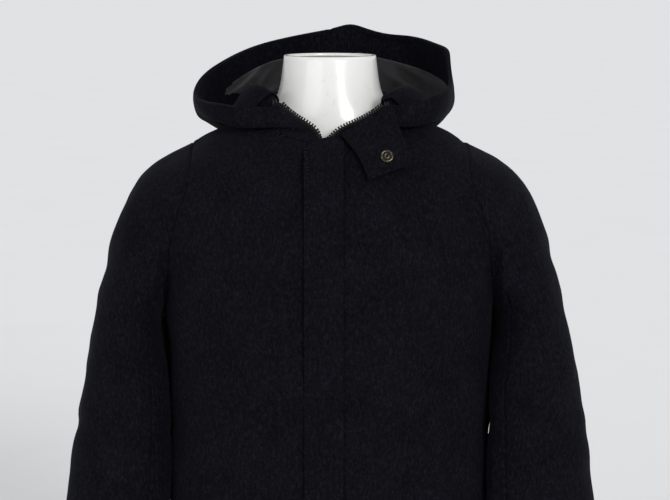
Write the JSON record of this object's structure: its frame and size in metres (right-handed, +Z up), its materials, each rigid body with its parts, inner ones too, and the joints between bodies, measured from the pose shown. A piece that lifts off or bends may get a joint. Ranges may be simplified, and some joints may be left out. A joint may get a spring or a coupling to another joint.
{
  "type": "hooded jacket on a limbless torso form",
  "caption": "Dark wool jacket with a stand-away hood, covered front zip and open throat flap, worn by a white torso form.",
  "frame": {"origin": "middle of the form's flat base", "axes": "+Z up; the front faces -Y; the wearer's left is +X"},
  "size_m": [0.644, 0.3406, 0.8974],
  "materials": {
    "wool": "matte brushed wool",
    "lining": "plain woven lining",
    "zip_tape": "woven tape",
    "antique_brass": "antique",
    "form_white": "glossy white"
  },
  "bodies": {
    "root": {"front_right": "wool", "front_left": "wool", "back": "wool", "sleeve_top_right": "wool", "sleeve_under_right": "wool", "sleeve_top_left": "wool", "sleeve_under_left": "wool", "hood_right": "wool", "hood_left": "wool", "hood_facing": "wool", "neck_facing": "wool", "placket": "wool", "throat_flap": "wool", "hood_lining": "lining", "zip_tape_right": "zip_tape", "zip_tape_left": "zip_tape", "snap_socket": "antique_brass", "zip_slider": "antique_brass", "zip_pull": "antique_brass", "torso_form": "form_white"}
  },
  "joints": []
}
